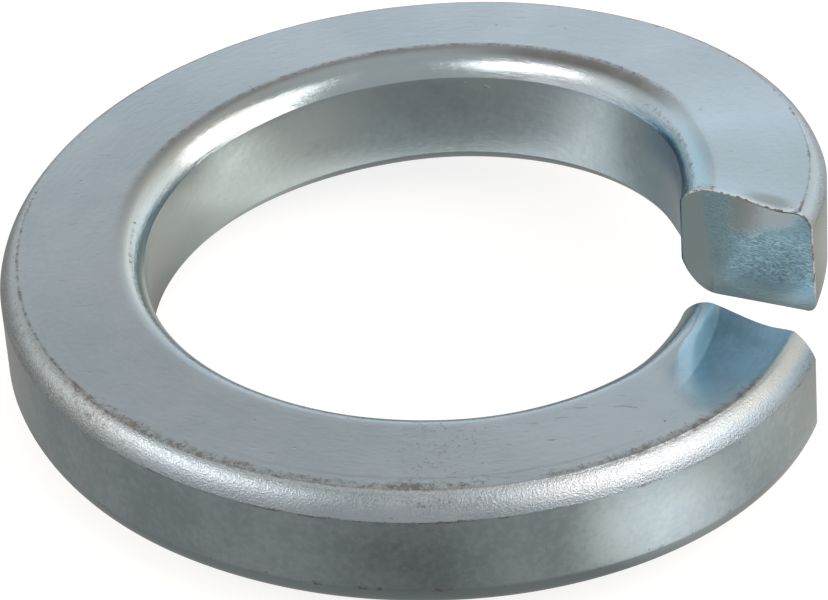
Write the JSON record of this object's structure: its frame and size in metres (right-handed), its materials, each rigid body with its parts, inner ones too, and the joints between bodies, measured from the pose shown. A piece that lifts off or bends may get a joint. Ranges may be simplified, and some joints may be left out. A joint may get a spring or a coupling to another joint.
{
  "type": "spring lock washer",
  "caption": "Split ring of rounded rectangular spring wire, coiled left-hand, that keeps a bolted joint under load.",
  "frame": {"origin": "on the axis of the bore, at half the height of the coil", "axes": "+Z along the bore towards the high end; +X through the gap between the two cut ends"},
  "size_m": [0.0315, 0.0314, 0.01],
  "materials": {
    "zinc_plated_steel": "zinc plated and passivated, bluish, worn along its edges"
  },
  "bodies": {
    "root": {"washer": "zinc_plated_steel"}
  },
  "joints": []
}
